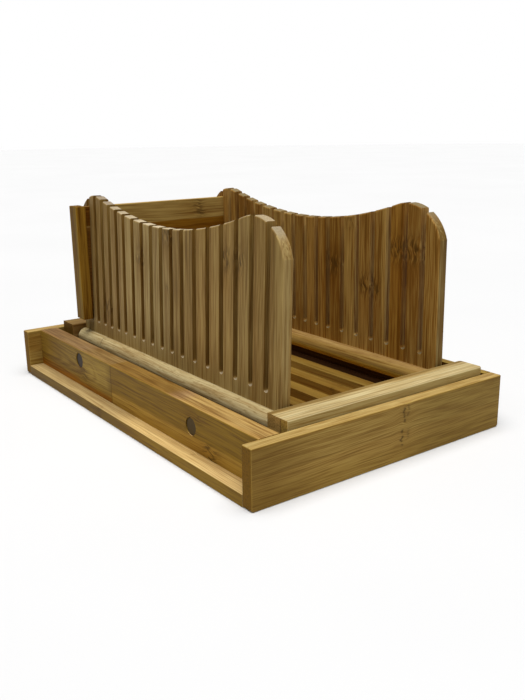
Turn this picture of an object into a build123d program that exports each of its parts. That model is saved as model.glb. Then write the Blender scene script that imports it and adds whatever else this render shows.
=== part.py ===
from build123d import *
import math
import os

# Bread slicer guide in bamboo: a crumb tray with a knife shelf along one side,
# a slicer frame that stands in the tray, two slotted guide walls that hinge on
# round rails and fold flat one over the other, and a lift-out back stop.
#
# Frame: X runs along the loaf (front, thick-slice end at +X), Y across it
# (knife shelf at -Y), Z up. Origin at the middle of the tray's footprint, on
# the surface that it stands on. Millimetres.

# ---------------------------------------------------------------- dimensions
# tray
TRAY_LEN = 330.0
TRAY_WID = 208.7
TRAY_HGT = 37.2
END_T = 9.0            # end boards
END_CORNER = 2.0       # rounded lower corners of the end boards
BOTTOM_T = 8.0         # bottom board
SIDE_T = 6.3           # far side board
PARTITION_T = 15.0     # board between knife shelf and slicer frame
PARTITION_Y = -92.9    # its outer face
SHELF_MAGNETS = ((-78.0, 28.3), (85.4, 23.2))   # X, Z of each magnet's centre
MAGNET_R = 5.6
MAGNET_T = 3.0
MAGNET_SEAT_R = 5.95
MAGNET_SEAT_D = 3.5

# slicer frame
BAR_X0 = 136.2         # inner face of an end bar
BAR_X1 = 155.5         # outer face
BAR_Y0 = -72.1
BAR_Y1 = 96.0
BAR_Z0 = 8.3
BAR_Z1 = 42.4
BAR_END_ROUND = 2.4    # rounded corners of its far end
SLAT_W = 10.2
SLAT_T = 8.0
SLAT_TOP = 22.3
SLAT_Y = (52.4, 30.9, 9.3, -12.3, -33.9)
SLAT_TENON = 6.0       # how far a slat is let into each end bar

# rails, pins and guide walls
RAIL_R = 6.5
RAIL_Z = 32.1          # height of both hinge axes
NEAR_Y = -61.7         # near hinge axis
FAR_Y = 71.85          # far hinge axis
WALL_HALF = 134.9      # half length of rails and walls
WALL_T = 7.5
WALL_OFF = 0.4         # wall face to hinge axis
WALL_FOOT = 3.0        # foot of the wall above the hinge axis
NEAR_LEAN = 1.93       # degrees inward at rest
FAR_LEAN = 0.68
PIN_R = 2.0
PIN_IN_RAIL = 10.0
PIN_END = 154.5
PIN_CLEAR = 0.05       # radial, in the rail
PIN_BORE_D = 11.0

# slots: 12, 14 and 16 mm pitches for thin, medium and thick slices
SLOT_W = 4.8
SLOT_Z = 47.5          # lowest point of the rounded slot bottom
SLOT_X = (-120, -108, -96, -84, -72, -60, -46, -32, -18, -4, 10, 24,
          40, 56, 72, 88, 104, 120)

# top edge of a wall: one long hollow arc that runs into a round shoulder at
# each end and is lowest a little to the rear of the middle
TOP_LOW = 133.1        # height of the edge there
TOP_LOW_X = -5.0
TOP_HOLLOW_R = 330.0
SHOULDER_FRONT = (105.0, 31.0)    # X of its centre, radius
SHOULDER_REAR = (-110.0, 26.0)
NEAR_RISE = 1.2        # the near wall's top edge is this much higher
WALL_EASE = 1.2        # sanded outline of a wall

# back stop: thin panel in the last slots, cleats outside the walls
STOP_X = -120.0
PANEL_T = 4.0
PANEL_TOP = 141.2
PANEL_SHOULDER_Z = 57.0   # clear of the slot bottoms as the walls fold
PANEL_FOOT_Z = 22.8
PANEL_FOOT_Y = (-39.0, 49.2)
CLEAT_X = (-128.0, -115.0)
CLEAT_Z = (50.0, 141.7)
CLEAT_NEAR = (-70.5, -62.3)
CLEAT_FAR = (80.2, 88.6)
TONGUE = 4.2           # panel let into each cleat

EASE = 0.7             # sanded edges


# ------------------------------------------------------------------- helpers
def block(x0, x1, y0, y1, z0, z1):
    return Pos((x0 + x1) / 2, (y0 + y1) / 2, (z0 + z1) / 2) * Box(
        x1 - x0, y1 - y0, z1 - z0)


def eased(x0, x1, y0, y1, z0, z1, r=EASE):
    b = block(x0, x1, y0, y1, z0, z1)
    return fillet(b.edges(), r)


def rod_x(x0, x1, y, z, r):
    return Pos((x0 + x1) / 2, y, z) * Rot(0, 90, 0) * Cylinder(r, x1 - x0)


def rod_y(x, y0, y1, z, r):
    return Pos(x, (y0 + y1) / 2, z) * Rot(90, 0, 0) * Cylinder(r, y1 - y0)


def on_line(edge, axis, value, tol=1e-3):
    return abs(getattr(edge.center(), axis) - value) < tol


parts = {}

# ---------------------------------------------------------------------- tray
hx = TRAY_LEN / 2
hy = TRAY_WID / 2
ix = hx - END_T                       # inner face of an end board

parts["tray_bottom_board"] = block(-ix, ix, -hy, hy, 0, BOTTOM_T)
edges = parts["tray_bottom_board"].edges().filter_by(Axis.X)
parts["tray_bottom_board"] = fillet(edges, EASE)

for name, xa, xb in (("tray_front_end_board", ix, hx),
                     ("tray_rear_end_board", -hx, -ix)):
    board = block(xa, xb, -hy, hy, 0, TRAY_HGT)
    board = fillet([e for e in board.edges().filter_by(Axis.X)
                    if on_line(e, "Z", 0)], END_CORNER)
    parts[name] = fillet([e for e in board.edges()
                          if on_line(e, "X", xa) or on_line(e, "X", xb)
                          or on_line(e, "Z", TRAY_HGT)], 0.9)

side = block(-ix, ix, hy - SIDE_T, hy, BOTTOM_T, TRAY_HGT)
side = fillet([e for e in side.edges().filter_by(Axis.X)
               if on_line(e, "Z", TRAY_HGT)], EASE)
parts["tray_side_board"] = side

partition = block(-ix, ix, PARTITION_Y, PARTITION_Y + PARTITION_T,
                  BOTTOM_T, TRAY_HGT)
partition = fillet([e for e in partition.edges().filter_by(Axis.X)
                    if on_line(e, "Z", TRAY_HGT)], EASE)
for mx, mz in SHELF_MAGNETS:
    partition -= rod_y(mx, PARTITION_Y - 1, PARTITION_Y + MAGNET_SEAT_D, mz,
                       MAGNET_SEAT_R)
parts["knife_partition"] = partition

for name, (mx, mz) in zip(("knife_magnet_rear", "knife_magnet_front"),
                          SHELF_MAGNETS):
    m = rod_y(mx, PARTITION_Y + MAGNET_SEAT_D - MAGNET_T,
              PARTITION_Y + MAGNET_SEAT_D, mz, MAGNET_R)
    m = fillet(m.edges().filter_by(GeomType.CIRCLE), 0.25)
    parts[name] = m

# -------------------------------------------------------------- slicer frame
for s, name in ((1, "end_bar_front"), (-1, "end_bar_rear")):
    xa, xb = sorted((s * BAR_X0, s * BAR_X1))
    bar = block(xa, xb, BAR_Y0, BAR_Y1, BAR_Z0, BAR_Z1)
    far_end = [e for e in bar.edges().filter_by(Axis.Z)
               if on_line(e, "Y", BAR_Y1)]
    bar = fillet(far_end, BAR_END_ROUND)
    near_end = [e for e in bar.edges().filter_by(Axis.Z)
                if on_line(e, "Y", BAR_Y0)]
    bar = fillet(list(bar.edges().filter_by(Axis.Y)) + near_end, EASE)
    for y in SLAT_Y:
        bar -= block(*sorted((s * (BAR_X0 - 1), s * (BAR_X0 + SLAT_TENON))),
                     y - SLAT_W / 2, y + SLAT_W / 2,
                     SLAT_TOP - SLAT_T, SLAT_TOP)
    for y in (NEAR_Y, FAR_Y):
        bar -= rod_x(*sorted((s * (BAR_X0 - 1), s * (BAR_X1 + 1))), y, RAIL_Z,
                     PIN_R)
    parts[name] = bar

for i, y in enumerate(SLAT_Y, 1):
    x1 = BAR_X0 + SLAT_TENON
    parts["deck_slat_%d" % i] = block(-x1, x1, y - SLAT_W / 2, y + SLAT_W / 2,
                                      SLAT_TOP - SLAT_T, SLAT_TOP)

for y, side_name in ((NEAR_Y, "near"), (FAR_Y, "far")):
    for s, end_name in ((1, "front"), (-1, "rear")):
        x0, x1 = sorted((s * (WALL_HALF - PIN_IN_RAIL), s * PIN_END))
        pin = rod_x(x0, x1, y, RAIL_Z, PIN_R)
        parts["%s_hinge_pin_%s" % (side_name, end_name)] = chamfer(
            pin.edges().filter_by(GeomType.CIRCLE), 0.3)

# --------------------------------------------------------- walls with rails
def arc_points(ox, oz, r, p, q):
    """Start, middle and end point of the arc about (ox, oz) from p to q."""
    m = (math.atan2(p[1] - oz, p[0] - ox)
         + math.atan2(q[1] - oz, q[0] - ox)) / 2
    return p, (ox + r * math.cos(m), oz + r * math.sin(m)), q


def shoulder_arc(s, low):
    """Shoulder of the top edge at end s, tangent to the hollow."""
    ox, r = SHOULDER_FRONT if s > 0 else SHOULDER_REAR
    d = TOP_HOLLOW_R + r
    drop = math.sqrt(d * d - (ox - TOP_LOW_X) ** 2)
    top = low + TOP_HOLLOW_R
    k = TOP_HOLLOW_R / d
    end = s * WALL_HALF
    return arc_points(ox, top - drop, r,
                      (TOP_LOW_X + k * (ox - TOP_LOW_X), top - k * drop),
                      (end, top - drop + math.sqrt(r * r - (end - ox) ** 2)))


def wall_blank(y0, y1, low):
    """Board with the hollow-backed top edge, standing upright."""
    z0 = RAIL_Z + WALL_FOOT

    def v(p):
        return Vector(p[0], y0, p[1])

    front, rear = shoulder_arc(1, low), shoulder_arc(-1, low)
    edges = [ThreePointArc(v(rear[0]), Vector(TOP_LOW_X, y0, low),
                           v(front[0])),
             ThreePointArc(*[v(p) for p in front]),
             Line(v(front[2]), Vector(WALL_HALF, y0, z0)),
             Line(Vector(WALL_HALF, y0, z0), Vector(-WALL_HALF, y0, z0)),
             Line(Vector(-WALL_HALF, y0, z0), v(rear[2])),
             ThreePointArc(*[v(p) for p in rear])]
    return extrude(make_face(edges), amount=y1 - y0, dir=(0, 1, 0))


def wall(axis_y, rise=0.0):
    """Slotted wall standing upright on the rail at axis_y.

    Both boards stand on the +Y side of their axis, so the near wall's outer
    face and the far wall's inner face are at the axis.
    """
    y0 = axis_y + WALL_OFF
    y1 = y0 + WALL_T
    body = wall_blank(y0, y1, TOP_LOW + rise)
    body = fillet([e for e in body.edges()
                   if (abs(e.center().Y - y0) < 1e-3
                       or abs(e.center().Y - y1) < 1e-3)
                   and e.center().Z > RAIL_Z + WALL_FOOT + 1], WALL_EASE)
    for x in SLOT_X:
        cut = block(x - SLOT_W / 2, x + SLOT_W / 2, y0 - 1, y1 + 1,
                    SLOT_Z + SLOT_W / 2, 170)
        cut += rod_y(x, y0 - 1, y1 + 1, SLOT_Z + SLOT_W / 2, SLOT_W / 2)
        body -= cut
    return body


def rail(axis_y):
    """Round rail with a rebate that takes the foot of the wall."""
    body = rod_x(-WALL_HALF, WALL_HALF, axis_y, RAIL_Z, RAIL_R)
    body = fillet(body.edges().filter_by(GeomType.CIRCLE), EASE)
    body -= block(-WALL_HALF - 1, WALL_HALF + 1, axis_y + WALL_OFF,
                  axis_y + RAIL_R + 1, RAIL_Z + WALL_FOOT, RAIL_Z + RAIL_R + 1)
    for s in (1, -1):
        x0, x1 = sorted((s * (WALL_HALF - PIN_BORE_D), s * (WALL_HALF + 1)))
        body -= rod_x(x0, x1, axis_y, RAIL_Z, PIN_R + PIN_CLEAR)
    return body


def lean(shape, axis_y, degrees):
    """Turn about the hinge axis; positive leans the top towards +Y."""
    return shape.rotate(Axis((0, axis_y, RAIL_Z), (1, 0, 0)), -degrees)


parts["near_wall"] = lean(wall(NEAR_Y, NEAR_RISE), NEAR_Y, NEAR_LEAN)
parts["near_rail"] = lean(rail(NEAR_Y), NEAR_Y, NEAR_LEAN)
parts["far_wall"] = lean(wall(FAR_Y), FAR_Y, -FAR_LEAN)
parts["far_rail"] = lean(rail(FAR_Y), FAR_Y, -FAR_LEAN)

# ----------------------------------------------------------------- back stop
py0 = CLEAT_NEAR[1] - TONGUE
py1 = CLEAT_FAR[0] + TONGUE
panel = block(STOP_X - PANEL_T / 2, STOP_X + PANEL_T / 2, py0, py1,
              PANEL_SHOULDER_Z, PANEL_TOP)
panel += block(STOP_X - PANEL_T / 2, STOP_X + PANEL_T / 2, PANEL_FOOT_Y[0],
               PANEL_FOOT_Y[1], PANEL_FOOT_Z, PANEL_SHOULDER_Z + 1)
panel = fillet([e for e in panel.edges().filter_by(Axis.X)
                if e.center().Z < PANEL_SHOULDER_Z + 1
                and PANEL_FOOT_Y[0] - 1 < e.center().Y < PANEL_FOOT_Y[1] + 1],
               3.0)
panel = fillet([e for e in panel.edges().filter_by(Axis.Y)
                if on_line(e, "Z", PANEL_TOP)], 0.6)
parts["stop_panel"] = panel

for name, (y0, y1), s in (("stop_cleat_near", CLEAT_NEAR, 1),
                          ("stop_cleat_far", CLEAT_FAR, -1)):
    c = eased(*CLEAT_X, y0, y1, *CLEAT_Z, 0.6)
    if s > 0:
        g0, g1 = y1 - TONGUE, y1 + 1
    else:
        g0, g1 = y0 - 1, y0 + TONGUE
    c -= block(STOP_X - PANEL_T / 2, STOP_X + PANEL_T / 2, g0, g1,
               PANEL_SHOULDER_Z, CLEAT_Z[1] + 1)
    parts[name] = c

# --------------------------------------------------------------------- write
os.makedirs("parts", exist_ok=True)
for name, shape in parts.items():
    export_step(shape, "parts/%s.step" % name)
    bb = shape.bounding_box()
    print("%-22s %8.1f mm3  solids %d  (%.1f %.1f %.1f)-(%.1f %.1f %.1f)" % (
        name, shape.volume, len(shape.solids()),
        bb.min.X, bb.min.Y, bb.min.Z, bb.max.X, bb.max.Y, bb.max.Z))
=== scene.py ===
import math
import random

import bpy
import bmesh
from mathutils import Matrix, Vector

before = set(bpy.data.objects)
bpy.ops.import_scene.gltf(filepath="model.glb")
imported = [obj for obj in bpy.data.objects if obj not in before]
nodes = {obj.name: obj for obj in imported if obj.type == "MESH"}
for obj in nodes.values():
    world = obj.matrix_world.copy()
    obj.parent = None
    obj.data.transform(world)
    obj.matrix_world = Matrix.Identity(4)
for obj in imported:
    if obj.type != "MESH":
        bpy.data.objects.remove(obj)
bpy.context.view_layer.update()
sc = bpy.context.scene
sc.view_settings.view_transform = "Standard"
sc.view_settings.look = "None"
sc.view_settings.exposure = 0.0
sc.view_settings.gamma = 1.0

# ------------------------------------------------------------------ camera
# At the photograph's viewing angle, solved from the tray's straight edges.
AZ, EL, ROLL = math.radians(53.61), math.radians(15.67), math.radians(-0.744)
CAM = Vector((0.47991, -0.32791, 0.19979))
FOCAL_PX = 791.6
back = Vector((math.sin(AZ) * math.cos(EL), -math.cos(AZ) * math.cos(EL),
               math.sin(EL)))
right = (-back).cross(Vector((0, 0, 1))).normalized()
up = right.cross(-back)
r2 = math.cos(ROLL) * right + math.sin(ROLL) * up
u2 = -math.sin(ROLL) * right + math.cos(ROLL) * up
cam_data = bpy.data.cameras.new("camera")
cam = bpy.data.objects.new("camera", cam_data)
sc.collection.objects.link(cam)
cam.matrix_world = Matrix.Translation(CAM) @ Matrix(
    (r2, u2, back)).transposed().to_4x4()
cam_data.sensor_fit = "VERTICAL"
cam_data.sensor_height = 24.0
cam_data.lens = FOCAL_PX * 24.0 / 700.0
cam_data.clip_start = 0.01
cam_data.clip_end = 50
sc.camera = cam


# --------------------------------------------------------------- node tools
class Mat:
    """Builds one material's node tree; numbers and sockets mix freely."""

    def __init__(self, name):
        self.m = bpy.data.materials.new(name)
        self.m.use_nodes = True
        self.t = self.m.node_tree
        self.t.nodes.clear()
        self.out = self.t.nodes.new("ShaderNodeOutputMaterial")
        self.tc = self.t.nodes.new("ShaderNodeTexCoord")

    def put(self, socket, value):
        if isinstance(value, bpy.types.NodeSocket):
            self.t.links.new(value, socket)
        elif isinstance(value, (tuple, list, Vector)):
            v = list(value)
            n = len(socket.default_value)
            socket.default_value = (v + [1.0])[:n] if n > len(v) else v[:n]
        else:
            socket.default_value = value

    def op(self, kind, a, b=0.0, c=0.0, clamp=False):
        n = self.t.nodes.new("ShaderNodeMath")
        n.operation = kind
        n.use_clamp = clamp
        self.put(n.inputs[0], a)
        self.put(n.inputs[1], b)
        self.put(n.inputs[2], c)
        return n.outputs[0]

    def add(self, a, b): return self.op("ADD", a, b)
    def sub(self, a, b): return self.op("SUBTRACT", a, b)
    def mul(self, a, b): return self.op("MULTIPLY", a, b)
    def div(self, a, b): return self.op("DIVIDE", a, b)
    def mad(self, a, b, c): return self.op("MULTIPLY_ADD", a, b, c)
    def clamp01(self, a): return self.op("ADD", a, 0.0, clamp=True)
    def absv(self, a): return self.op("ABSOLUTE", a)

    def dot(self, vec, axis):
        n = self.t.nodes.new("ShaderNodeVectorMath")
        n.operation = "DOT_PRODUCT"
        self.put(n.inputs[0], vec)
        self.put(n.inputs[1], axis)
        return n.outputs["Value"]

    def xyz(self, x, y, z):
        n = self.t.nodes.new("ShaderNodeCombineXYZ")
        for i, v in enumerate((x, y, z)):
            self.put(n.inputs[i], v)
        return n.outputs[0]

    def noise(self, vec, scale=1.0, detail=2.0, rough=0.5, distort=0.0):
        n = self.t.nodes.new("ShaderNodeTexNoise")
        n.noise_dimensions = "3D"
        self.put(n.inputs["Vector"], vec)
        self.put(n.inputs["Scale"], scale)
        self.put(n.inputs["Detail"], detail)
        self.put(n.inputs["Roughness"], rough)
        self.put(n.inputs["Distortion"], distort)
        return n.outputs["Fac"]

    def white(self, vec):
        n = self.t.nodes.new("ShaderNodeTexWhiteNoise")
        n.noise_dimensions = "3D"
        self.put(n.inputs["Vector"], vec)
        return n.outputs["Value"]

    def voronoi(self, vec, scale=1.0):
        n = self.t.nodes.new("ShaderNodeTexVoronoi")
        self.put(n.inputs["Vector"], vec)
        self.put(n.inputs["Scale"], scale)
        return n.outputs["Distance"]

    def ramp(self, fac, stops, kind="LINEAR"):
        n = self.t.nodes.new("ShaderNodeValToRGB")
        n.color_ramp.interpolation = kind
        e = n.color_ramp.elements
        while len(e) < len(stops):
            e.new(0.5)
        for el, (p, c) in zip(e, stops):
            el.position = p
            el.color = (*c, 1.0) if isinstance(c, (tuple, list)) else (
                c, c, c, 1.0)
        self.put(n.inputs[0], fac)
        return n.outputs[0]

    def step(self, x, lo, hi, a=0.0, b=1.0):
        n = self.t.nodes.new("ShaderNodeMapRange")
        n.interpolation_type = "SMOOTHSTEP"
        for i, v in enumerate((x, lo, hi, a, b)):
            self.put(n.inputs[i], v)
        return n.outputs[0]

    def lerp(self, x, lo, hi, a=0.0, b=1.0, clamp=True):
        n = self.t.nodes.new("ShaderNodeMapRange")
        n.clamp = clamp
        for i, v in enumerate((x, lo, hi, a, b)):
            self.put(n.inputs[i], v)
        return n.outputs[0]

    def mix(self, fac, a, b, kind="MIX"):
        n = self.t.nodes.new("ShaderNodeMix")
        n.data_type = "RGBA"
        n.blend_type = kind
        self.put(n.inputs[0], fac)
        self.put(n.inputs[6], a)
        self.put(n.inputs[7], b)
        return n.outputs[2]

    def bump(self, height, distance, strength=1.0):
        n = self.t.nodes.new("ShaderNodeBump")
        self.put(n.inputs["Height"], height)
        self.put(n.inputs["Distance"], distance)
        self.put(n.inputs["Strength"], strength)
        return n.outputs["Normal"]

    def finish(self, color, rough, normal=None, metallic=0.0, specular=0.5,
               coat=0.0, coat_rough=0.3):
        b = self.t.nodes.new("ShaderNodeBsdfPrincipled")
        self.put(b.inputs["Base Color"], color)
        self.put(b.inputs["Roughness"], rough)
        b.inputs["Metallic"].default_value = metallic
        b.inputs["Specular IOR Level"].default_value = specular
        b.inputs["Coat Weight"].default_value = coat
        b.inputs["Coat Roughness"].default_value = coat_rough
        if normal is not None:
            self.put(b.inputs["Normal"], normal)
        self.t.links.new(b.outputs[0], self.out.inputs[0])
        return self.m


def srgb(r, g, b):
    def f(c):
        c /= 255.0
        return c / 12.92 if c <= 0.04045 else ((c + 0.055) / 1.055) ** 2.4
    return (f(r), f(g), f(b))


def mixc(a, b, t):
    return tuple(x * (1 - t) + y * t for x, y in zip(a, b))


def scale(c, k):
    return tuple(min(1.0, x * k) for x in c)


X, Y, Z = (1.0, 0.0, 0.0), (0.0, 1.0, 0.0), (0.0, 0.0, 1.0)


def bamboo(name, grain, across, light, dark, seed, strip=(19.0, 5.0),
           cell=0.35, large=0.55, medium=0.8, fine=0.5, knots=(), chains=(),
           bands=(), rings=(), faces=(), wave=0.0, flecks=0.0, lines_k=0.24, freq=1.0, joint=0.34,
           end_light=None, end_dark=None, rough=0.50, spec=0.07,
           bump=0.00012, shift=(0.0, 0.0), glue=0.25, wear_and_glint=0.3,
           wear_and_glint_col=None, face_soft=0.5):
    """Laminated bamboo as a solid texture, in object coordinates.

    grain and across are unit vectors; strip is the width of a lath along each
    across direction. Millimetres along grain (g) and first across (u):
    knots   (g, u, half width, half height, strength): clusters of dashes
    chains  (g, u0, u1, strength): thin broken wavy line across the grain
    bands   (g0, g1, u0, u1, softness, colour): smooth-edged change of tone;
            some of these bands are painted shade
    faces   (axis, colour[, g0, g1, u0, u1[, soft]]): tone of the faces that
            look along axis, within that stretch; soft, or else face_soft, is
            half its soft edge. Most of these face tones are painted light and
            shade: paler tops for painted sheen, darker slot sides and floors
            for painted shade, a lighter underside for painted bounce light
            half its soft edge
    """
    m = Mat(name)
    P = m.tc.outputs["Object"]
    N = m.tc.outputs["Normal"]

    def mm(axis):
        return m.dot(P, [1000.0 * a for a in axis])

    def hump(x):
        return m.op("EXPONENT", m.mul(m.mul(x, x), -1.0))

    g, u, v = mm(grain), mm(across[0]), mm(across[1])
    rnd = random.Random(seed)
    o = [rnd.uniform(-40, 40) for _ in range(8)]

    # laths: each cell has its own tone and its own run of fibres
    uw = m.add(u, m.mul(m.op("SINE", m.mad(u, 0.11, o[0])), 1.6))
    du = m.div(m.add(uw, shift[0]), strip[0])
    cu = m.op("FLOOR", du)
    cv = m.op("FLOOR", m.div(m.add(v, shift[1]), strip[1]))
    lath = m.white(m.xyz(m.add(cu, o[1]), m.add(cv, o[2]), 0.0))
    lath2 = m.white(m.xyz(m.add(cu, o[3]), m.add(cv, o[4]), 7.0))
    edge = m.sub(0.5, m.absv(m.sub(m.sub(du, cu), 0.5)))
    seam = m.step(m.mul(edge, strip[0]), 0.06, joint, 1.0, 0.0)

    # fibres drift sideways slowly and swirl at the nodes
    drift = m.mul(m.sub(m.noise(m.xyz(m.mul(g, 0.012), m.mul(lath, 30.0),
                                      m.mul(u, 0.02)), 1.0, 1.0), 0.5),
                  4.0 + wave)
    uu = m.add(u, drift)
    dashes, ridges, tails, lines = 0.0, 0.0, 0.0, 0.0
    for i, (kg, ku, kw, kh, ks) in enumerate(knots):
        wob = m.mul(m.sub(m.noise(m.xyz(m.mul(u, 0.33), o[5] + i * 9.7,
                                        0.0), 1.0, 2.0), 0.5), 7.0)
        dg = m.add(m.sub(g, kg), wob)
        side = m.mul(m.sub(u, ku), 1.0 / kw)
        side = hump(m.mul(side, side))
        bell = m.mul(m.mul(hump(m.mul(dg, 1.0 / kh)), side), ks)
        dashes = m.add(dashes, bell)
        ridges = m.add(ridges, m.mul(m.mul(hump(m.mul(dg, 1.5)), side), ks))
        tail = m.mul(hump(m.mul(m.sub(g, kg - kh), 1.0 / (kh * 2.6))), side)
        tails = m.add(tails, m.mul(tail, ks))
        uu = m.add(uu, m.mul(m.mul(bell, m.op("SINE", m.mul(dg, 0.35))), 1.1))
    for i, (cg, u0, u1, cs) in enumerate(chains):
        wob = m.noise(m.xyz(m.mul(u, 0.24), o[4] + i * 5.3, 0.0), 1.0, 3.0,
                      0.6)
        dg = m.add(m.sub(g, cg), m.mul(m.sub(wob, 0.5), 9.0))
        span = m.mul(m.step(u, u0 - 1.0, u0 + 1.0),
                     m.step(u, u1 - 1.0, u1 + 1.0, 1.0, 0.0))
        gate = m.step(m.noise(m.xyz(m.mul(u, 0.55), o[6] + i * 3.1, 0.0), 1.0,
                              1.0), 0.36, 0.52)
        lines = m.add(lines, m.mul(m.mul(m.mul(hump(m.mul(dg, 1.05)), span),
                                         gate), cs))
        tails = m.add(tails, m.mul(m.mul(hump(m.mul(dg, 0.14)), span),
                                   cs * 0.28))
        uu = m.add(uu, m.mul(m.mul(m.mul(hump(m.mul(dg, 0.15)), span),
                                   m.op("SINE", m.mul(dg, 0.30))), 1.5 * cs))

    vs = m.add(v, m.mul(lath2, 50.0))
    big = m.noise(m.xyz(m.mul(uu, 0.10), m.mul(vs, 0.10), m.mul(g, 0.006)),
                  1.0, 2.0)
    med = m.noise(m.xyz(m.add(m.mul(uu, 0.42 * freq), o[6]), m.mul(vs, 0.35),
                        m.mul(g, 0.012)), 1.0, 3.0, 0.62)
    fib = m.noise(m.xyz(m.add(m.mul(uu, 1.05 * freq), o[7]), m.mul(vs, 1.05),
                        m.mul(g, 0.035)), 1.0, 2.0, 0.6)
    # dark, broken fibre bundles
    bundle = m.noise(m.xyz(m.mul(uu, 0.80 * freq), m.add(m.mul(vs, 0.8), o[3]),
                           m.mul(g, 0.014)), 1.0, 1.0, 0.5)
    bundle = m.step(bundle, 0.57, 0.68)
    f = m.mad(m.sub(lath, 0.5), cell, 0.5)
    f = m.mad(m.sub(big, 0.5), large, f)
    f = m.mad(m.sub(med, 0.5), medium, f)
    f = m.mad(m.sub(fib, 0.5), fine, f)
    f = m.mad(bundle, -lines_k, f)
    for (rg, ru, rl, rh, rs, rk) in rings:
        a = m.mul(m.sub(g, rg), 1.0 / rl)
        b = m.mul(m.sub(u, ru), 1.0 / rh)
        d = m.op("SQRT", m.add(m.mul(a, a), m.mul(b, b)))
        d = m.mad(m.sub(m.noise(P, 26.0, 2.0), 0.5), 0.7, d)
        ring = m.op("SINE", m.mul(d, 6.2832 * rh / rs))
        near = m.step(d, 0.85, 1.05, 1.0, 0.0)
        f = m.add(f, m.mul(m.mul(ring, near), rk))
    f = m.clamp01(f)
    mid = mixc(dark, light, 0.55)
    col = m.ramp(f, [(0.08, scale(dark, 0.72)), (0.34, dark), (0.54, mid),
                     (0.78, light), (1.0, scale(light, 1.16))])
    # warm and cool laths
    warm = m.step(lath2, 0.25, 0.8)
    col = m.mix(m.mul(warm, 0.40), col, (1.0, 0.84, 0.58, 1.0), "MULTIPLY")
    for i, (g0, g1, u0, u1, soft, c) in enumerate(bands):
        w1 = m.mad(m.sub(m.noise(m.xyz(m.mul(g, 0.03), o[1] + i, 0.0), 1.0,
                                 2.0), 0.5), 3.0, u)
        wg = m.mad(m.sub(m.noise(m.xyz(m.mul(u, 0.2), o[2] + i, 0.0), 1.0,
                                 2.0), 0.5), 1.5, g)
        w = m.mul(m.mul(m.step(wg, g0 - soft, g0 + soft),
                        m.step(wg, g1 - soft, g1 + soft, 1.0, 0.0)),
                  m.mul(m.step(w1, u0 - soft, u0 + soft),
                        m.step(w1, u1 - soft, u1 + soft, 1.0, 0.0)))
        col = m.mix(w, col, (*c, 1.0), "MULTIPLY")
    col = m.mix(m.mul(seam, glue), col, (*scale(dark, 0.45), 1.0))
    if flecks:
        fl = m.noise(m.xyz(m.mul(uu, 0.9), m.mul(vs, 0.9), m.mul(g, 0.16)),
                     1.0, 2.0, 0.5)
        col = m.mix(m.mul(m.step(fl, 0.55, 0.68), flecks), col,
                    (0.55, 0.45, 0.30, 1.0), "MULTIPLY")

    height = m.mad(fib, 0.5, m.mul(med, 0.3))
    if knots or chains:
        burnt = (*scale(dark, 0.40), 1.0)
        col = m.mix(m.clamp01(m.mul(tails, 0.55)), col,
                    (0.70, 0.54, 0.34, 1.0), "MULTIPLY")
        dash = m.noise(m.xyz(m.mul(uu, 0.78), m.add(m.mul(vs, 0.3), 3.0),
                             m.mul(g, 0.14)), 1.0, 2.0, 0.5)
        gleam = m.step(dash, 0.32, 0.42, 1.0, 0.0)
        dash = m.step(dash, 0.46, 0.57)
        k = m.clamp01(m.mul(dashes, m.mul(dash, 0.95)))
        col = m.mix(m.clamp01(m.mul(dashes, m.mul(gleam, 0.35))), col,
                    (*scale(light, 1.1), 1.0))
        col = m.mix(k, col, burnt)
        if knots:
            col = m.mix(m.clamp01(m.mul(ridges, m.mul(gleam, 0.5))), col,
                        (*scale(light, 1.1), 1.0))
        if chains:
            col = m.mix(m.clamp01(lines), col, (*scale(dark, 0.34), 1.0))
            height = m.sub(height, m.mul(lines, 0.7))
        height = m.sub(height, m.mul(k, 0.5))

    # end grain: short dark dots in a paler, duller ground
    ne = m.absv(m.dot(N, grain))
    is_end = m.step(ne, 0.55, 0.85)
    el = end_light or mixc(dark, light, 0.45)
    ed = end_dark or scale(dark, 0.62)
    dots = m.voronoi(m.xyz(m.mul(u, 1.0), m.mul(v, 1.0), m.mul(g, 0.05)), 1.0)
    dots = m.step(dots, 0.20, 0.44, 1.0, 0.0)
    grit = m.noise(m.xyz(u, v, m.mul(g, 0.2)), 1.3, 3.0, 0.6)
    ecol = m.ramp(m.clamp01(m.mad(m.sub(lath, 0.5), cell * 0.8,
                                  m.mad(m.sub(grit, 0.5), 0.9, 0.5))),
                  [(0.2, ed), (0.8, el)])
    ecol = m.mix(m.mul(dots, 0.5), ecol, (*scale(ed, 0.6), 1.0))
    col = m.mix(is_end, col, ecol)
    for axis, c, *span in faces:
        w = m.step(m.dot(N, axis), 0.55, 0.9)
        soft = span[4] if len(span) > 4 else face_soft
        for i, x in enumerate((g, u)[:len(span) // 2]):
            w = m.mul(w, m.mul(m.step(x, span[2 * i] - soft,
                                      span[2 * i] + soft),
                               m.step(x, span[2 * i + 1] - soft,
                                      span[2 * i + 1] + soft, 1.0, 0.0)))
        col = m.mix(w, col, (*c, 1.0), "MULTIPLY")

    # sanded edges rub lighter, and this edge tone is also a painted highlight
    #     # where the rounded edges catch the light: the rounded edges' normals lie
    #     # off the axes
    n1 = m.absv(m.dot(N, across[0]))
    n2 = m.absv(m.dot(N, across[1]))
    top = m.op("MAXIMUM", m.op("MAXIMUM", n1, n2), ne)
    worn_and_glint = m.step(top, 0.80, 0.97, 1.0, 0.0)
    wc = wear_and_glint_col or scale(light, 1.15)
    if wear_and_glint:
        col = m.mix(m.mul(worn_and_glint, wear_and_glint), col, (*wc, 1.0))

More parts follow.
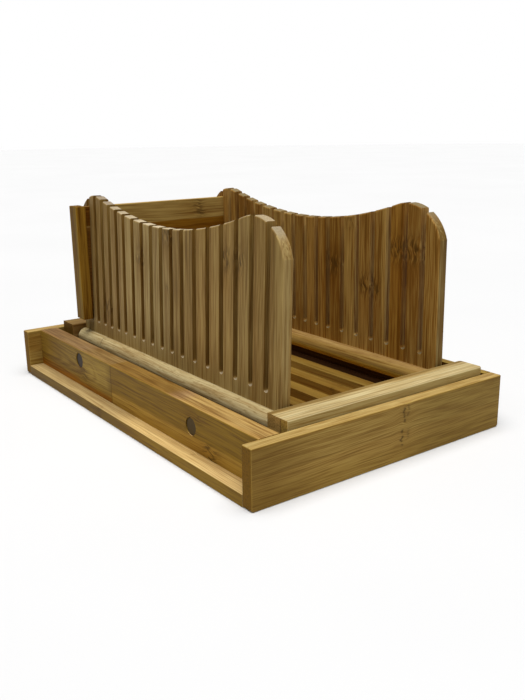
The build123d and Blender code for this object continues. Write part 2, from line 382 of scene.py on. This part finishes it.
    r = m.mad(m.sub(fib, 0.5), 0.22, rough)
    r = m.mad(is_end, 0.18, r)
    height = m.add(m.mul(height, m.sub(1.0, is_end)),
                   m.mul(m.mad(dots, -0.6, grit), is_end))
    return m.finish(col, r, m.bump(height, bump, 0.9), specular=spec)


def assign(node, material):
    o = nodes[node]
    o.data.materials.clear()
    o.data.materials.append(material)
    for p in o.data.polygons:
        p.material_index = 0


# ---------------------------------------------------------------- materials
def pair(light, dark, k=(1.0, 1.0, 1.0)):
    """Light and dark tone of a wood, both tinted by k."""
    return tuple(tuple(a * b for a, b in zip(srgb(*c), k))
                 for c in (light, dark))


WALL_N = pair((208, 178, 124), (160, 125, 74), (0.72, 0.77, 0.69))
WALL_F = pair((198, 158, 94), (142, 98, 42), (0.92, 0.93, 0.76))
SHELF = pair((210, 170, 102), (174, 132, 72), (1.04, 1.23, 1.60))
SIDE = pair((212, 172, 104), (160, 118, 62), (0.43, 0.43, 0.20))
ENDB = pair((200, 167, 102), (158, 120, 61), (0.62, 0.61, 0.44))
BAR = pair((228, 200, 142), (186, 150, 90), (0.78, 0.90, 1.10))
# the rear end bar is the front bar's wood tinted much darker: painted shade
BAR_R_SHADED = pair((228, 200, 142), (186, 150, 90), (0.36, 0.29, 0.20))
# the two rails share nearly one wood: the near rail's copy is tinted lighter and paler as lit,
# the far rail's copy darker as shaded between the walls: painted light and shade
RAIL_N_LIT = pair((222, 194, 138), (180, 144, 90), (0.80, 0.96, 1.20))
RAIL_F_SHADED = pair((220, 186, 128), (172, 132, 80), (0.54, 0.52, 0.34))
SLAT = pair((208, 168, 100), (166, 122, 62), (0.36, 0.36, 0.22))
PANEL = pair((192, 150, 80), (146, 104, 48), (1.00, 1.19, 1.33))
CLEAT = pair((190, 148, 80), (134, 92, 40), (0.56, 0.52, 0.22))

LEAN_N, LEAN_F = math.radians(1.93), math.radians(0.68)
near_g = (0.0, math.sin(LEAN_N), math.cos(LEAN_N))
near_v = (0.0, math.cos(LEAN_N), -math.sin(LEAN_N))
far_g = (0.0, -math.sin(LEAN_F), math.cos(LEAN_F))
far_v = (0.0, math.cos(LEAN_F), math.sin(LEAN_F))
UP, LEFT = (0.0, 0.0, 1.0), (0.0, -1.0, 0.0)
FRONT, REAR = (1.0, 0.0, 0.0), (-1.0, 0.0, 0.0)

# painted shade: the sides of the slots are multiplied darker
SLOT_SHADE = (0.64, 0.53, 0.36)
assign("near_wall", bamboo(
    "near_wall_bamboo", near_g, (X, near_v), *WALL_N, 11,
    strip=(21.0, 4.4), cell=0.22, large=0.35, medium=0.70, fine=0.95,
    end_light=(0.66, 0.57, 0.41), end_dark=(0.44, 0.36, 0.23), wear_and_glint=0.16,
    wear_and_glint_col=(0.40, 0.30, 0.15),
    # painted shade: slot sides and slot floors (up faces 30 to 70 mm up) are multiplied darker;
    # the end face, the shoulder and the tooth tops are also toned by painted light and shade,
    # region by region, and the outer face is toned region by region
    faces=[(FRONT, SLOT_SHADE, -500, 500, -126, 126),
           (FRONT, (0.77, 0.72, 0.66), -500, 500, 126, 200),
           (UP, (0.44, 0.42, 0.40), -500, 500, 122.5, 200),
           (UP, (0.66, 0.62, 0.56), 30, 70),
           (UP, (0.54, 0.50, 0.48), 100, 170, -130, -84),
           (UP, (0.73, 0.69, 0.63), 100, 170, -84, -66),
           (UP, (0.83, 0.79, 0.73), 100, 170, -66, -39),
           (UP, (0.92, 0.89, 0.84), 100, 170, -39, 20),
           (LEFT, (0.90, 0.90, 0.90), 112, 200, -500, 500, 14),
           (LEFT, (0.94, 0.94, 0.94), 80, 112, -500, 500, 14),
           (LEFT, (0.80, 0.76, 0.76), 44, 200, -500, -56, 14),
           (LEFT, (0.94, 0.95, 0.99), 44, 200, -56, 16, 14),
           (LEFT, (0.87, 0.80, 0.68), 44, 200, 16, 112, 14),
           (LEFT, (0.84, 0.81, 0.73), 44, 200, 112, 200, 14),
           (UP, (0.84, 0.82, 0.78), 100, 170, 20, 72),
           (UP, (0.66, 0.60, 0.51), 100, 170, 72, 122.5),
           (REAR, SLOT_SHADE, -500, 500, -126, 126)],
    knots=[(108, -34, 7, 7.0, 0.9), (120, 77, 5, 8.0, 0.95),
           (121, 91, 6, 8.0, 0.95), (128, 5, 8, 7.0, 0.95),
           (62, -92, 7, 8.0, 0.85), (92, 4, 2, 2.5, 0.8),
           (48, -20, 5, 5.0, 0.4)]))
assign("far_wall", bamboo(
    "far_wall_bamboo", far_g, (X, far_v), *WALL_F, 23, strip=(20.0, 4.4),
    cell=0.26, large=0.4, medium=0.75, fine=0.95,
    end_light=(0.27, 0.20, 0.10), end_dark=(0.17, 0.12, 0.05), wear_and_glint=0.06,
    wear_and_glint_col=(0.26, 0.18, 0.08),
    # painted light and shade on the slot sides: those facing the front are paler and bluer, those
    # facing the rear darker; the front end face is toned cooler
    faces=[(FRONT, (0.98, 1.02, 1.20), -500, 500, -126, 126),
           (FRONT, (0.64, 0.79, 1.16), -500, 500, 126, 200),
           (REAR, (0.70, 0.62, 0.50), -500, 500, -126, 126)],
    bands=[(-200, 200, 88, 106, 1.5, (0.88, 0.76, 0.50)),
           (-200, 200, 18, 40, 1.5, (0.93, 0.86, 0.68))],
    knots=[(99, 30, 8, 8.0, 1.0), (88, 65, 6, 9.0, 1.0),
           (85, 76, 5, 9.0, 0.9), (116, 96, 7, 10.0, 1.1),
           (118, 112, 7, 10.0, 1.1), (131, 49, 5, 5.0, 0.6)]))
assign("near_rail", bamboo(
    "near_rail_bamboo", X, (Y, Z), *RAIL_N_LIT, 31, strip=(7.0, 40.0), cell=0.25,
    large=0.4, medium=0.8, fine=0.9, glue=0.2, flecks=0.5, wear_and_glint=0.0,
    chains=[(-93, -80, -40, 0.6)]))
assign("far_rail", bamboo(
    "far_rail_bamboo", X, (Y, Z), *RAIL_F_SHADED, 37, strip=(7.0, 40.0), cell=0.3,
    medium=0.7, fine=0.8, glue=0.2, wear_and_glint=0.0, flecks=0.3,
    # painted sheen: up faces paler; painted bounce light: faces looking down and to -Y multiplied
    # lighter
    faces=[(UP, (1.15, 1.2, 1.6)), ((0.0, -0.6, -0.8), (2.5, 2.8, 1.8))]))
assign("tray_bottom_board", bamboo(
    "bottom_bamboo", X, (Y, Z), *SHELF, 41, strip=(20.0, 9.0),
    cell=0.15, large=0.45, medium=0.9, fine=1.2, freq=1.6,
    # painted shade: the -Y edge faces are multiplied darker than the top; painted shadow: up
    # faces beyond 87.5 mm, under the far wall by the side board, are near black; the first band
    # darkens the board inside the tray under the frame as painted shade
    faces=[(LEFT, (0.42, 0.335, 0.07)),
           (UP, (0.10, 0.07, 0.08), -500, 500, 87.5, 200)], face_soft=1.5,
    bands=[(-200, 200, -76, 200, 1.5, (0.56, 0.42, 0.20)),
           (-200, 10, -120, -70, 25.0, (0.62, 0.62, 0.65)),
           (110, 250, -120, -70, 22.0, (0.92, 0.92, 0.96))],
    knots=[(-22, -104, 3, 3.0, 0.6)], chains=[(92, -98, -92, 0.5)]))
assign("tray_side_board", bamboo(
    "side_bamboo", X, (Z, Y), *SIDE, 43, strip=(15.0, 9.0),
    knots=[(-40, 25, 8, 6, 0.7), (80, 12, 6, 6, 0.6)],
    # painted sheen: the top edge is paler; painted shade: the inner face looking to -Y is
    # multiplied darker
    faces=[(UP, (1.2, 1.3, 1.6)), (LEFT, (0.4, 0.3, 0.2))]))
assign("knife_partition", bamboo(
    "partition_bamboo", X, (Z, Y), *SIDE, 47, strip=(40.0, 5.0),
    shift=(-1.0, 0.0), cell=0.30, large=0.36, medium=0.65, fine=1.30,
    freq=1.35, lines_k=0.18, face_soft=14.0,
    # painted sheen: the top edge is multiplied paler and bluer, most towards the front
    faces=[(UP, (1.85, 2.02, 6.6), 66, 300),
           (UP, (1.08, 1.05, 2.4), -14, 66),
           (UP, (1.04, 1.02, 2.1), -78, -14),
           (UP, (1.08, 1.04, 2.4), -300, -78)],
    rings=[(-165, 22, 132, 15, 2.6, 0.11)],
    bands=[(-156, -24.5, 14, 60, 1.2, (0.90, 0.94, 1.04)),
           (-156, -24.5, -10, 11.5, 1.2, (1.14, 0.79, 0.40)),
           (-156, -80, 11.5, 14, 1.2, (1.02, 0.82, 0.55)),
           (-160, -110, -10, 60, 16.0, (0.86, 0.80, 0.72)),
           (-72, -30, 17, 34, 5.0, (1.38, 1.45, 1.66)),
           (-24.5, 160, 17.5, 40, 1.2, (0.84, 0.81, 0.55)),
           (-24.5, 160, -10, 17.5, 1.2, (1.38, 1.38, 1.5)),
           (-24.9, -23.7, -10, 36.4, 0.4, (0.60, 0.52, 0.42))],
    knots=[(-69, 19, 6, 7, 0.7), (107, 12, 6, 8, 1.0),
           (92, 30, 4, 6, 0.5)]))
for n, s, kn, tones in (
        ("tray_front_end_board", 53,
         [(11.4, 24, 36.8, 0.85), (14.6, 28, 36, 0.5), (10.2, 10, 21, 0.9),
          (15.5, 14, 20, 0.5)],
         [(FRONT, (0.70, 0.65, 0.54), -400, -72),
          (FRONT, (0.80, 0.80, 0.72), 22, 400)]),
        ("tray_rear_end_board", 59, [(-30, 6, 22, 0.6)], [])):
    assign(n, bamboo(n + "_bamboo", Y, (Z, X), *ENDB, s,
                     strip=(18.0, 4.5), cell=0.12, large=0.25, medium=0.48,
                     fine=1.20, lines_k=0.15, freq=1.5, chains=kn, wave=1.0,
                     # painted sheen: the up faces are multiplied paler and bluer
                     faces=[(UP, (1.34, 1.50, 2.30)),
                            (LEFT, (1.33, 1.16, 0.50))] + tones,
                     face_soft=24.0,
                     bands=[(-200, 200, -5, 11, 5.0, (0.95, 0.95, 0.85))],
                     end_light=scale(ENDB[1], 0.80),
                     end_dark=(0.075, 0.045, 0.010)))
# the 0.6 scale darkens the rear bar's end grain: painted shade
for n, s, k, tones in (("end_bar_front", 61, 1.0, BAR),
                       ("end_bar_rear", 67, 0.6, BAR_R_SHADED)):
    assign(n, bamboo(n + "_bamboo", Y, (X, Z), *tones, s,
                     strip=(4.9, 17.0), cell=0.22, large=0.2, medium=0.65,
                     fine=0.9, glue=0.55, joint=0.55, shift=(3.0, 0.0),
                     freq=1.2,
                     bands=[(-200, 200, 130, 140.5, 0.4, (0.58, 0.49, 0.33)),
                            (-200, 200, 140.5, 150.5, 0.4,
                             (0.95, 0.92, 0.86))],
                     end_light=scale((0.30, 0.17, 0.045), k),
                     end_dark=(0.11, 0.055, 0.012),
                     faces=[(LEFT, (2.1, 2.3, 2.6), -500, 500, 100, 148.6),
                            (LEFT, (2.3, 2.6, 2.2), -500, 500, 149.4, 200),
                            (LEFT, (1.0, 0.90, 0.45), -500, 500, -200, 0),
                            (UP, (1.0, 1.10, 1.1), -500, 500, -200, 0),
                            (FRONT, (0.80, 0.72, 0.50), -500, 500, 100, 200)
                            ]))
for i in range(1, 6):
    assign("deck_slat_%d" % i, bamboo(
        "slat_%d_bamboo" % i, X, (Y, Z), *SLAT, 70 + i,
        strip=(5.0, 12.0), cell=0.35, faces=[(LEFT, (1.65, 1.55, 1.5))],
        knots=[(random.Random(i).uniform(-90, 90), 0, 200, 3.0, 0.4)]))
assign("stop_panel", bamboo(
    "stop_panel_bamboo", Y, (Z, X), *PANEL, 83, strip=(40.0, 4.2),
    large=0.4, medium=0.7, fine=0.8, cell=0.1,
    knots=[(45, 134, 6, 6, 0.8), (49, 128, 3, 6, 0.6)], wave=5.0,
    faces=[(REAR, (1.0, 1.14, 1.9))],
    # painted shade: the panel below its top edge is multiplied darker, and the stretch at Y below
    # -57 mm beside the near wall darker still
    bands=[(-200, 200, 0, 124.5, 0.8, (0.57, 0.38, 0.10)),
           (-200, -57, 124.5, 200, 0.8, (0.30, 0.16, 0.045)),
           (-200, -57, 0, 124.5, 0.8, (0.74, 0.72, 1.5))]))
for n, s in (("stop_cleat_near", 87), ("stop_cleat_far", 89)):
    assign(n, bamboo(n + "_bamboo", Z, (X, Y), *CLEAT, s,
                     strip=(7.0, 9.0), cell=0.2, medium=0.8, fine=0.8,
                     glue=0.4, faces=[(LEFT, (0.88, 1.00, 0.58))]))


def metal(name, base, rough, metallic=1.0):
    m = Mat(name)
    P = m.tc.outputs["Object"]
    n = m.noise(P, 900.0, 3.0, 0.6)
    n2 = m.noise(P, 120.0, 2.0, 0.5)
    col = m.ramp(m.mad(m.sub(n2, 0.5), 0.8, n),
                 [(0.25, scale(base, 0.75)), (0.75, base)])
    return m.finish(col, m.mad(n2, 0.18, rough - 0.09),
                    m.bump(n, 0.00003), metallic=metallic)


# the two magnets share one nickel colour, tinted lighter on the front magnet and darker on the
# rear one: painted light and shade
for n, k in (("knife_magnet_front", (1.35, 1.36, 0.75)),
             ("knife_magnet_rear", (0.52, 0.42, 0.14))):
    base = tuple(a * b for a, b in zip(srgb(62, 46, 20), k))
    assign(n, metal(n + "_nickel", base, 0.46))
for w in ("near", "far"):
    for e in ("front", "rear"):
        assign("%s_hinge_pin_%s" % (w, e),
               metal("%s_pin_%s_steel" % (w, e), srgb(180, 180, 182), 0.3))

# -------------------------------------------------------------------- stage
bm = bmesh.new()
bmesh.ops.create_circle(bm, cap_ends=True, segments=96, radius=9.0)
me = bpy.data.meshes.new("floor")
bm.to_mesh(me)
bm.free()
floor = bpy.data.objects.new("floor", me)
sc.collection.objects.link(floor)
m = Mat("floor_paint")
n = m.noise(m.tc.outputs["Object"], 3.0, 3.0, 0.5)
floor.data.materials.append(m.finish(
    m.ramp(n, [(0.3, (0.655,) * 3), (0.7, (0.672,) * 3)]), 0.8,
    specular=0.1))

# white studio surround: bright to look at, dim as a light
world = bpy.data.worlds.new("studio")
sc.world = world
world.use_nodes = True
wt = world.node_tree
bg = wt.nodes["Background"]
bg.inputs[0].default_value = (1.0, 1.0, 1.0, 1.0)
path = wt.nodes.new("ShaderNodeLightPath")
gloss = wt.nodes.new("ShaderNodeMath")
gloss.operation = "MULTIPLY"
gloss.inputs[1].default_value = 0.4
wt.links.new(path.outputs["Is Glossy Ray"], gloss.inputs[0])
seen = wt.nodes.new("ShaderNodeMath")
seen.operation = "MAXIMUM"
wt.links.new(path.outputs["Is Camera Ray"], seen.inputs[0])
wt.links.new(gloss.outputs[0], seen.inputs[1])
amount = wt.nodes.new("ShaderNodeMapRange")
wt.links.new(seen.outputs[0], amount.inputs[0])
amount.inputs[3].default_value = 0.05
amount.inputs[4].default_value = 1.0
wt.links.new(amount.outputs[0], bg.inputs[1])


def sun(name, direction, strength, angle, colour=(1, 1, 1)):
    """Soft far light; direction points from the object to the light."""
    d = bpy.data.lights.new(name, "SUN")
    d.energy = strength
    d.angle = math.radians(angle)
    d.color = colour
    o = bpy.data.objects.new(name, d)
    sc.collection.objects.link(o)
    o.rotation_euler = Vector(direction).to_track_quat("Z", "Y").to_euler()
    return o


sun("key", (0.15, -0.11, 1.0), 4.6, 60)
